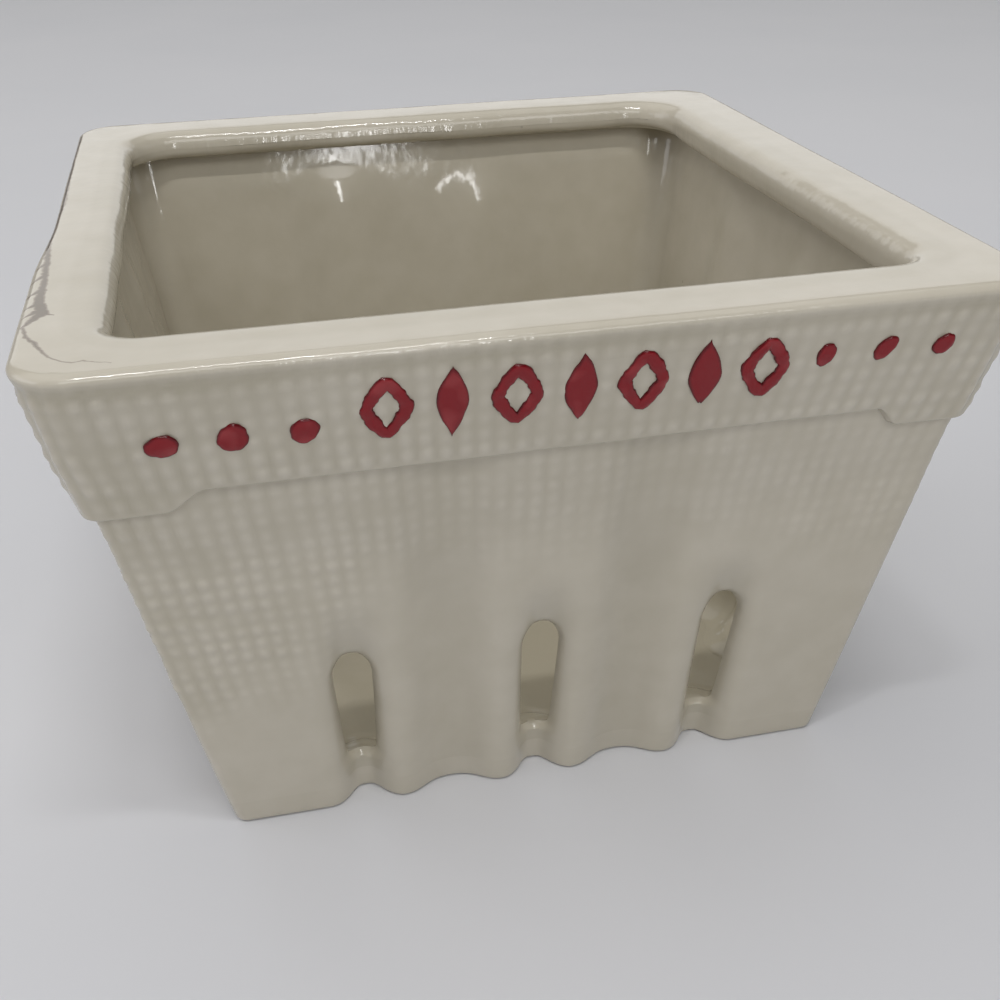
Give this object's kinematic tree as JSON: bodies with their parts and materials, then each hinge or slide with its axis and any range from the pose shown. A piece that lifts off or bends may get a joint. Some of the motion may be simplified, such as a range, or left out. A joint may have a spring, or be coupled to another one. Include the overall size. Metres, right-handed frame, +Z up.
{
  "type": "ceramic berry basket",
  "caption": "Square glazed ceramic berry basket with fluted tapering sides, drain slots, a deep stepped band under a flat rim and painted red spots and lozenges on the front.",
  "frame": {"origin": "centre of the foot, on the table", "axes": "+Z up out of the mouth, the painted side of the band faces -Y, +X to the right when looking at that side"},
  "size_m": [0.14, 0.14, 0.0896],
  "materials": {
    "cream_glaze": "gloss",
    "red_enamel": "gloss"
  },
  "bodies": {
    "root": {"floor_slab": "cream_glaze", "wall_front": "cream_glaze", "wall_right": "cream_glaze", "wall_back": "cream_glaze", "wall_left": "cream_glaze", "band_front": "cream_glaze", "band_right": "cream_glaze", "band_back": "cream_glaze", "band_left": "cream_glaze", "rim_ring": "cream_glaze", "spot_left_far": "red_enamel", "spot_left_mid": "red_enamel", "spot_left_near": "red_enamel", "spot_right_near": "red_enamel", "spot_right_mid": "red_enamel", "spot_right_far": "red_enamel", "mark_lozenge_1": "red_enamel", "mark_leaf_1": "red_enamel", "mark_lozenge_2": "red_enamel", "mark_leaf_2": "red_enamel", "mark_lozenge_3": "red_enamel", "mark_leaf_3": "red_enamel", "mark_lozenge_4": "red_enamel"}
  },
  "joints": []
}
